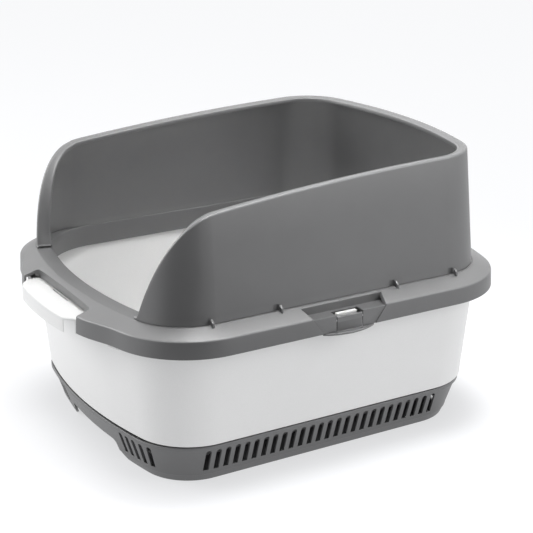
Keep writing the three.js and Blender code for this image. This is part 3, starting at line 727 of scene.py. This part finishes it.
def pan():
    p = PAN_BOTTOM
    rings = [ring(p, PAN_FOOT, -10.5), ring(p, PAN_STEP - 0.6, -9.6), ring(p, PAN_STEP, -0.2),
             ring(p, FLANGE_BOTTOM - 0.3, pan_offset(FLANGE_BOTTOM)), ring(p, FLANGE_BOTTOM, FLANGE_REACH),
             ring(p, FLANGE_TOP, FLANGE_REACH), ring(p, FLANGE_TOP, pan_offset(FLANGE_TOP) - PAN_WALL),
             ring(p, PAN_STEP + 4, pan_offset(PAN_STEP + 4) - PAN_WALL), ring(p, PAN_STEP + 3, -12.6),
             ring(p, PAN_FLOOR, -13.5), ring(PAN_HOLE, PAN_FLOOR), ring(PAN_HOLE, PAN_FOOT)]
    radii = [0.8, 0.4, 2.4, 1.5, 0.8, 0.8, 1.2, 1.5, 1, 1.5, 0.6, 0.6]
    body = ring_body("pan_body", rings, radii, 5)
    finish_piece(body, WHITE, "pan", ["litter_pan"])

    f = HANDLE_FRONT
    corner = [(-HANDLE_HALF, f + 17.5), (-70, f + 8.5)]
    corner += curve2(corner[-1], (-66, f + 4.9), (-58, f + 3.7), 6)
    front = [(-HANDLE_HALF, HANDLE_BACK)] + corner
    front += curve2(front[-1], (0, f - 3.5), (58, f + 3.7), 16)
    front += [(-x, y) for x, y in reversed(corner[:-1])]
    front.append((HANDLE_HALF, HANDLE_BACK))
    grip = prism("pan_handle", front, "z", HANDLE_BOTTOM, HANDLE_TOP)
    shelf_low, shelf_ys = FLANGE_TOP - 0.5, (HANDLE_BACK - 6, HANDLE_BACK + 8)
    shelf = block("shelf", -HANDLE_HALF, HANDLE_HALF, *shelf_ys, shelf_low, HANDLE_TOP)
    combine(grip, [shelf], "UNION")
    bevelled(grip, 1.8, 4)
    inside = rounded_rect(-HANDLE_HALF + 3, HANDLE_HALF - 3, HANDLE_FRONT + 5.5, HANDLE_BACK - 3, 9)
    hollow = prism("hollow", inside, "z", HANDLE_BOTTOM - 1, HANDLE_TOP - 3)
    snap = block("snap", -28, 18, NOTCH_BACK - 3.4, NOTCH_BACK - 0.6, HANDLE_TOP - 5, HANDLE_TOP + 1)
    combine(grip, [hollow, snap], "DIFFERENCE")
    finish_piece(grip, WHITE, "pan", ())

    details = []
    for side in (1, -1):
        lug = block("lug", *span(side, 218.8, 223.8), -14, 14, FLANGE_TOP - 1, 200.2)
        details.append(bevelled(lug, 0.8, 3))
        gusset = [(-266, FLANGE_BOTTOM + 1), (-248, FLANGE_BOTTOM + 1), (-248, 166), (-262, 174)]
        plate = prism("gusset", gusset, "x", *span(side, GUSSET_X, GUSSET_X + GUSSET_THICK))
        details.append(bevelled(plate, 0.5, 2))
    finish_piece(merge(details, "pan_details"), WHITE, "pan", ())


def floor_grid():
    low = PAN_FLOOR + 0.3
    rings = [ring(GRID_EDGE, low), ring(GRID_EDGE, low + GRID_THICK, -0.8)]
    plate = capped_body("grid_plate", rings, [0, 0])
    cuts = []
    for row in range(SLOT_ROWS):
        for column in range(SLOT_COLUMNS):
            x = (column - SLOT_COLUMNS // 2) * SLOT_PITCH_X
            y = (row - SLOT_ROWS // 2) * SLOT_PITCH_Y
            points = arc(x, y + SLOT_HALF, SLOT_RADIUS, 0, 180, 6)
            points += arc(x, y - SLOT_HALF, SLOT_RADIUS, 180, 360, 6)
            cuts.append(prism("slot", points, "z", low - 1, low + 4))
    combine(plate, [merge(cuts, "slots")], "DIFFERENCE")
    finish_piece(plate, WHITE, "grid", ["floor_grid"])


# ---------- rim ----------

def rim():
    r, f, o = RIM_OUTER, SHIELD_FOOT, RIM_OPENING
    rings = [ring(r, SKIRT_BOTTOM, SKIRT_OUT, RIM_FLARE), ring(r, RIM_EDGE, 0, RIM_FLARE),
             ring(f, RIM_CREST, 1.6), ring(o, RIM_CREST), ring(o, INNER_WALL_BOTTOM),
             ring(o, INNER_WALL_BOTTOM, RIM_WALL), ring(o, RIM_CREST - RIM_WALL, RIM_WALL),
             ring(r, RIM_EDGE - RIM_WALL, -RIM_WALL, RIM_FLARE),
             ring(r, SKIRT_BOTTOM, SKIRT_OUT - RIM_WALL, RIM_FLARE)]
    frame_obj = ring_body("rim_body", rings, [0.5, 1.8, 1.5, 1.6, 0.6, 0.6, 0, 0.8, 0.5], 4)

    pockets = []
    for side in (1, -1):
        section = [(RECESS_INNER_X, 197.9), (FACET_X, 197.9), (FACET_X, RECESS_FLOOR),
                   (RECESS_BACK, RECESS_FLOOR), (RECESS_BACK, 209), (RECESS_INNER_X, 209.6)]
        pockets.append(prism("pocket", [(side * x, z) for x, z in section], "y", -61.5, 61.5))
        for end in (1, -1):
            ends = sorted((end * WINDOW_HALF, end * 26))
            pockets.append(block("boss", *span(side, 225.8, 229.6), *ends, LATCH_AXIS_Z - 5, 199))
    turned_down = [(-86, 198.7), (86, 198.7), (86, 204.3), (40, 206), (0, 206.8), (-40, 206), (-86, 204.3)]
    pockets.append(prism("turned_down", turned_down, "y", NOTCH_BACK - 4, NOTCH_BACK + 1.8))
    combine(frame_obj, pockets, "UNION")

    cuts = [prism("notch", rounded_rect(-NOTCH_HALF, NOTCH_HALF, -330, NOTCH_BACK, 5), "z", 170, 230)]
    for side in (1, -1):
        hollow = [(-50, RECESS_FLOOR), (50, RECESS_FLOOR), (60, RIM_CREST + 3), (-60, RIM_CREST + 3)]
        cuts.append(prism("hollow", hollow, "x", *span(side, RECESS_BACK, PAST_RIM_X)))
        facet = [(-36, SKIRT_BOTTOM - 1), (36, SKIRT_BOTTOM - 1), (55, RIM_EDGE + 3), (-55, RIM_EDGE + 3)]
        cuts.append(prism("facet", facet, "x", *span(side, FACET_X, PAST_RIM_X)))
        window_xs = span(side, 216, PAST_RIM_X)
        cuts.append(block("window", *window_xs, -WINDOW_HALF, WINDOW_HALF, 176, RIM_CREST + 3))
        cuts.append(rod("pin_hole", PIN_HOLE, side * LATCH_AXIS_X, LATCH_AXIS_Z, -23.5, 23.5))
    combine(frame_obj, cuts, "DIFFERENCE")
    finish_piece(frame_obj, RIM_GREY, "rim", ["rim_frame"])

    tabs = []
    section = [(207.1, RIM_CREST - 2), (212.5, RIM_CREST - 2)]
    section += [(212, RIM_CREST + 3.6), (207.4, RIM_CREST + 7.2)]
    for y in TAB_YS:
        for side in (1, -1):
            tab = prism("tab", [(side * x, z) for x, z in section], "y", y - 1.4, y + 1.4)
            tabs.append(bevelled(tab, 0.4, 2))
    finish_piece(merge(tabs, "rim_tabs"), RIM_GREY, "rim", ())

    rings = [ring(f, RIM_CREST - 2.2, 2.7), ring(f, RIM_CREST + 0.5, 2.2),
             ring(f, RIM_CREST + 0.5, 1.0), ring(f, RIM_CREST - 1, 0.9)]
    rib = ring_body("rim_rib", rings, [0, 0.5, 0.5, 0], 3)
    combine(rib, [block("keep", -240, 240, TAB_YS[3] + 3, 290, 190, 230)], "INTERSECT")
    finish_piece(rib, RIM_GREY, "rim", ())


def side_latches():
    """The right latch and its mirror image: a plate on a barrel, with a hook inside and a thumb lip."""
    plate = bevelled(block("latch_face", 227.6, 230.4, -LATCH_HALF, LATCH_HALF, 178.6, 198.6), 0.5, 3)
    barrel = rod("barrel", 2.7, LATCH_AXIS_X, LATCH_AXIS_Z, -LATCH_HALF, LATCH_HALF)
    hook = prism("hook", [(228, 182), (228, 187.2), (226, 187.2), (225.9, 185.5)], "y", -12, 12)
    lip_points = [(228, -LIP_HALF)] + curve2((228, -LIP_HALF), (237, -24), (238.3, 0), 14)
    lip_points += curve2((238.3, 0), (237, 24), (228, LIP_HALF), 14)
    lip = bevelled(prism("lip", lip_points, "z", 177.8, 180.4), 0.7, 3, 50)
    combine(plate, [barrel, hook, lip], "UNION")
    combine(plate, [block("trim", 230.42, PAST_RIM_X, -19, 19, 181.2, 202)], "DIFFERENCE")
    combine(plate, [rod("bore", PIN_HOLE, LATCH_AXIS_X, LATCH_AXIS_Z, -30, 30)], "DIFFERENCE")
    plate.name = "latch_right_plate"
    left = mirror(plate, "latch_left_plate")
    finish_piece(plate, RIM_GREY, "latch_right", ["side_latch_right"])
    finish_piece(left, RIM_GREY, "latch_left", ["side_latch_left"])


# ---------- shield ----------

def sweep(past):
    """How far the front edge has swept down past the corner's start, how steep it is, and how far along."""
    length = SWEEP_END - SWEEP_START
    t = max(0, (past - SWEEP_START) / length)
    drop = CROWN - 11 - SHIELD_BOTTOM - 2.5
    return drop * t ** SWEEP_POWER, drop * SWEEP_POWER * t ** (SWEEP_POWER - 1) / length, t


def shield_section(top_y, past):
    """(inward, z) points of the wall: rolled outer edge, top face dished inwards, lip under its edge."""
    drop, slope, t = sweep(past)
    top = max(CROWN + 0.0638 * top_y - 0.000143 * top_y * top_y - drop, SHIELD_BOTTOM + 3)
    width = TOP_FACE + TOP_FACE_GROWTH * t * t
    room = top - SHIELD_BOTTOM
    steep = math.hypot(1, slope)
    edge = min(2.6 * steep, room * 0.6)
    under = max(top - 3.6 * steep, SHIELD_BOTTOM + 1.2)
    lip = max(top - 7 * steep, SHIELD_BOTTOM + 0.6)
    outer = [(2.6 * (1 - math.cos(a)), top - edge * (1 - math.sin(a)))
             for a in (math.pi / 2 * i / 5 for i in range(6))]
    dish = min(2 * steep, room * 0.3)
    levels = [min(SHIELD_BOTTOM + rise, SHIELD_BOTTOM + (room - edge) * share)
              for rise, share in ((9, 0.3), (40, 0.6), (85, 0.85))]
    points = [(0, SHIELD_BOTTOM)] + [(0, z) for z in levels] + outer
    points += [(width * 0.45, top - dish * 0.35), (width - 3.4, top - dish), (width - 2.6, top - dish * 0.9)]
    points += [(width - 1.2, top - dish * 0.8), (width - 0.3, top - dish), (width, top - dish * 1.25)]
    points += [(width, lip + 0.5), (width - 0.5, lip), (width - 1.9, lip), (width - 2.4, lip + 0.5)]
    points += [(width - 2.4, under), (SHIELD_WALL + 0.6, under)]
    points += [(SHIELD_WALL, under - min(0.8, (under - SHIELD_BOTTOM) * 0.5))]
    for i, z in ((1, levels[2]), (0.5, levels[1]), (0, levels[0])):
        points.append((SHIELD_WALL, min(z, under - 1 + 0.9 * i)))
    points.append((SHIELD_WALL, SHIELD_BOTTOM))
    return points


def shield_stations():
    """Places along the wall: how far past the corner's start, its foot and top points, and outwards."""
    angle, side_y = corners(SHIELD_FOOT)
    corner_length = SHIELD_FOOT.corner * angle
    quarter = []
    for i in range(SWEPT_STATIONS + 1):
        past = SWEEP_END * math.sqrt(1 - i / SWEPT_STATIONS)
        t = past / corner_length
        quarter.append((past, lambda s, t=t: corner_point(s, t), angle * t, -1))
    for past in (-2, -4, -6, -8, -10, -12, SWEEP_START):
        quarter.append((past, lambda s, past=past: (s.a, corners(s)[1] + past), 0, -1))
    for i in range(1, 13):
        past = SWEEP_START - (side_y + SWEEP_START) * i / 12
        share = past / side_y
        quarter.append((past, lambda s, share=share: (s.a, corners(s)[1] * (1 + share)), 0, -1))
    for i in range(1, 12):
        quarter.append((SWEEP_START, lambda s, i=i: (s.a, corners(s)[1] * i / 12), 0, 1))
    for i in range(25):
        t = i / 24
        quarter.append((SWEEP_START, lambda s, t=t: corner_point(s, t), angle * t, 1))
    for i in range(1, 18):
        t = i / 36
        turn = angle + (math.pi - 2 * angle) * t
        quarter.append((SWEEP_START, lambda s, t=t: end_point(s, t), turn, 1))
    stations = []
    for side, part in ((1, quarter), (-1, quarter[::-1])):
        for past, at, turn, end in part:
            places = []
            for s in (SHIELD_FOOT, SHIELD_TOP):
                x, y = at(s)
                places.append(Vector((side * x, end * y + s.y)))
            out = Vector((side * math.cos(turn), end * math.sin(turn)))
            stations.append((past, *places, out))
        if side == 1:
            stations.append((SWEEP_START, Vector((0, SHIELD_FOOT.b + SHIELD_FOOT.y)),
                             Vector((0, SHIELD_TOP.b + SHIELD_TOP.y)), Vector((0, 1))))
    return stations


def shield():
    verts, faces = [], []
    stations = shield_stations()
    for past, foot, top, out in stations:
        for inward, z in shield_section(top.y - SHIELD_TOP.y, past):
            rise = (z - RIM_CREST) / (CROWN - RIM_CREST)
            p = foot.lerp(top, rise) - out * inward
            verts.append((p.x, p.y, z))
    n = len(verts) // len(stations)
    for k in range(len(stations) - 1):
        for i in range(n):
            j = (i + 1) % n
            faces.append((k * n + i, (k + 1) * n + i, (k + 1) * n + j, k * n + j))
    faces.append(tuple(range(n)))
    faces.append(tuple(range(len(verts) - 1, len(verts) - n - 1, -1)))
    wall = mesh("shield_wall", verts, faces, 38)
    windows = []
    for y in TAB_YS:
        for side in (1, -1):
            low, high = SHIELD_BOTTOM - 1, SHIELD_BOTTOM + 7.5
            windows.append(block("gap", *span(side, 204.7, 209), y - 9, y - 2, low, high))
    combine(wall, [merge(windows, "gaps")], "DIFFERENCE", 38)
    finish_piece(wall, GREY, "shield", ["shield"])


# ---------- stage, light and camera ----------

def math_node(nodes, links, operation, first, second):
    node = nodes.new("ShaderNodeMath")
    node.operation = operation
    for socket, value in zip(node.inputs, (first, second)):
        if isinstance(value, (int, float)):
            socket.default_value = value
        else:
            links.new(value, socket)
    return node.outputs["Value"]


def dim_side(nodes, links, direction):
    """1 towards the dim side of the studio, 0 elsewhere."""
    facing = nodes.new("ShaderNodeVectorMath")
    facing.operation = "DOT_PRODUCT"
    facing.inputs[1].default_value = DIM_SIDE
    links.new(direction, facing.inputs[0])
    fade = nodes.new("ShaderNodeMapRange")
    fade.interpolation_type = "SMOOTHSTEP"
    fade.inputs["From Min"].default_value = DIM_FROM
    fade.inputs["From Max"].default_value = DIM_FULL
    links.new(facing.outputs["Value"], fade.inputs["Value"])
    return fade.outputs["Result"]


def floor_material():
    """Pale matte floor with a glow that is off under the box and shaded close round it.

    Away from the box, gloss doesn't see the floor on the studio's dim side.
    """
    material = bpy.data.materials.new("floor_paint")
    material.use_nodes = True
    nodes, links = material.node_tree.nodes, material.node_tree.links
    shader = nodes["Principled BSDF"]
    shader.inputs["Base Color"].default_value = (*FLOOR_COLOUR, 1)
    shader.inputs["Roughness"].default_value = 0.9
    shader.inputs["Specular IOR Level"].default_value = 0
    shader.inputs["Emission Color"].default_value = FLOOR_TINT
    place = nodes.new("ShaderNodeNewGeometry")
    centred = nodes.new("ShaderNodeVectorMath")
    centred.operation = "SUBTRACT"
    centred.inputs[1].default_value = (0, CENTRING_Y * MM, 0)
    links.new(place.outputs["Position"], centred.inputs[0])
    size = nodes.new("ShaderNodeVectorMath")
    size.operation = "ABSOLUTE"
    links.new(centred.outputs["Vector"], size.inputs[0])
    past = nodes.new("ShaderNodeVectorMath")
    past.operation = "SUBTRACT"
    past.inputs[1].default_value = UNDER_BOX
    links.new(size.outputs["Vector"], past.inputs[0])
    outside = nodes.new("ShaderNodeVectorMath")
    outside.operation = "MAXIMUM"
    outside.inputs[1].default_value = (0, 0, 0)
    links.new(past.outputs["Vector"], outside.inputs[0])
    reach = nodes.new("ShaderNodeVectorMath")
    reach.operation = "LENGTH"
    links.new(outside.outputs["Vector"], reach.inputs[0])
    glow = nodes.new("ShaderNodeMapRange")
    glow.interpolation_type = "SMOOTHSTEP"
    glow.inputs["From Min"].default_value = UNDER_CORNER - UNDER_FADE
    glow.inputs["From Max"].default_value = UNDER_CORNER
    glow.inputs["To Max"].default_value = FLOOR_GLOW
    links.new(reach.outputs["Value"], glow.inputs["Value"])
    contact = nodes.new("ShaderNodeMapRange")
    contact.interpolation_type = "SMOOTHSTEP"
    contact.inputs["From Min"].default_value = UNDER_CORNER
    contact.inputs["From Max"].default_value = UNDER_CORNER + CONTACT_REACH
    contact.inputs["To Min"].default_value = CONTACT_LEVEL
    links.new(reach.outputs["Value"], contact.inputs["Value"])
    strength = math_node(nodes, links, "MULTIPLY", glow.outputs["Result"], contact.outputs["Result"])
    links.new(strength, shader.inputs["Emission Strength"])
    unit = nodes.new("ShaderNodeVectorMath")
    unit.operation = "NORMALIZE"
    links.new(place.outputs["Position"], unit.inputs[0])
    ray = nodes.new("ShaderNodeLightPath")
    dim = dim_side(nodes, links, unit.outputs["Vector"])
    distance = nodes.new("ShaderNodeVectorMath")
    distance.operation = "LENGTH"
    links.new(place.outputs["Position"], distance.inputs[0])
    far = nodes.new("ShaderNodeMapRange")
    far.interpolation_type = "SMOOTHSTEP"
    far.inputs["From Min"].default_value = DIM_FLOOR_FROM
    far.inputs["From Max"].default_value = DIM_FLOOR_FULL
    links.new(distance.outputs["Value"], far.inputs["Value"])
    amount = math_node(nodes, links, "MULTIPLY", dim, ray.outputs["Is Glossy Ray"])
    amount = math_node(nodes, links, "MULTIPLY", amount, far.outputs["Result"])
    dark = nodes.new("ShaderNodeBsdfDiffuse")
    dark.inputs["Color"].default_value = DIM_FLOOR_COLOUR
    mixed = nodes.new("ShaderNodeMixShader")
    links.new(amount, mixed.inputs["Fac"])
    links.new(shader.outputs["BSDF"], mixed.inputs[1])
    links.new(dark.outputs["BSDF"], mixed.inputs[2])
    links.new(mixed.outputs["Shader"], nodes["Material Output"].inputs["Surface"])
    return material


def studio():
    """The floor, and a world with its own levels for camera, gloss and all other rays."""
    far = FLOOR_HALF
    data = bpy.data.meshes.new("floor")
    data.from_pydata([(-far, -far, 0), (far, -far, 0), (far, far, 0), (-far, far, 0)], [], [(0, 1, 2, 3)])
    floor = bpy.data.objects.new("floor", data)
    bpy.context.collection.objects.link(floor)
    data.materials.append(floor_material())

    world = bpy.data.worlds.new("studio")
    bpy.context.scene.world = world
    world.use_nodes = True
    nodes, links = world.node_tree.nodes, world.node_tree.links
    place = nodes.new("ShaderNodeTexCoord")
    ray = nodes.new("ShaderNodeLightPath")
    split = nodes.new("ShaderNodeSeparateXYZ")
    links.new(place.outputs["Generated"], split.inputs["Vector"])
    sky = nodes.new("ShaderNodeMapRange")
    sky.inputs["From Max"].default_value = SKY_TOP
    sky.inputs["To Min"].default_value = HORIZON_LEVEL
    sky.inputs["To Max"].default_value = ZENITH_LEVEL
    links.new(split.outputs["Z"], sky.inputs["Value"])
    dim = dim_side(nodes, links, place.outputs["Generated"])
    high = nodes.new("ShaderNodeMapRange")
    high.inputs["From Min"].default_value = GLOSS_RISE_FROM
    high.inputs["From Max"].default_value = SKY_TOP
    high.inputs["To Min"].default_value = GLOSS_LEVEL
    high.inputs["To Max"].default_value = GLOSS_TOP_LEVEL
    links.new(split.outputs["Z"], high.inputs["Value"])
    gloss = nodes.new("ShaderNodeMapRange")
    gloss.inputs["To Max"].default_value = DIM_LEVEL
    links.new(high.outputs["Result"], gloss.inputs["To Min"])
    links.new(dim, gloss.inputs["Value"])
    lit = nodes.new("ShaderNodeMix")
    links.new(ray.outputs["Is Glossy Ray"], lit.inputs["Factor"])
    links.new(sky.outputs["Result"], lit.inputs["A"])
    links.new(gloss.outputs["Result"], lit.inputs["B"])
    seen = nodes.new("ShaderNodeMix")
    seen.inputs["B"].default_value = BACKDROP_LEVEL
    links.new(ray.outputs["Is Camera Ray"], seen.inputs["Factor"])
    links.new(lit.outputs["Result"], seen.inputs["A"])
    links.new(seen.outputs["Result"], nodes["Background"].inputs["Strength"])
    nodes["Background"].inputs["Color"].default_value = WHITE_LIGHT


def softbox(name, place, target, size, power, spread=180):
    """A round lamp aimed at a point."""
    light = bpy.data.lights.new(name, "AREA")
    light.shape = "DISK"
    light.size = size
    light.energy = power
    light.spread = math.radians(spread)
    obj = bpy.data.objects.new(name, light)
    bpy.context.collection.objects.link(obj)
    obj.location = place
    obj.rotation_euler = (Vector(target) - Vector(place)).to_track_quat("-Z", "Y").to_euler()


def camera():
    data = bpy.data.cameras.new("camera")
    data.sensor_width = 36
    data.lens = LENS
    data.clip_start = 0.05
    data.clip_end = 50
    obj = bpy.data.objects.new("camera", data)
    bpy.context.collection.objects.link(obj)
    obj.location = CAMERA_PLACE
    obj.rotation_euler = Vector(CAMERA_AIM).to_track_quat("-Z", "Y").to_euler()
    bpy.context.scene.camera = obj


# ---------- the whole scene ----------

camera()
base()
pad_tray()
absorbent_pad()
pan()
floor_grid()
rim()
side_latches()
shield()
for pin in ("latch_pin_right", "latch_pin_left"):
    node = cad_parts[pin]
    node.data.materials.clear()
    node.data.materials.append(STEEL)
studio()
softbox("top", (0.12, 0.12, 1.25), (0, 0.1, 0.2), 0.6, 2.3, spread=55)
softbox("right", (1.9, 1.3, 1.3), LIT_POINT, SIDE_LAMP_SIZE, 18)
softbox("left", (-1.25, -1.75, 1.3), LIT_POINT, SIDE_LAMP_SIZE, 32)

bpy.context.scene.view_settings.view_transform = "Standard"
bpy.context.scene.view_settings.look = "None"
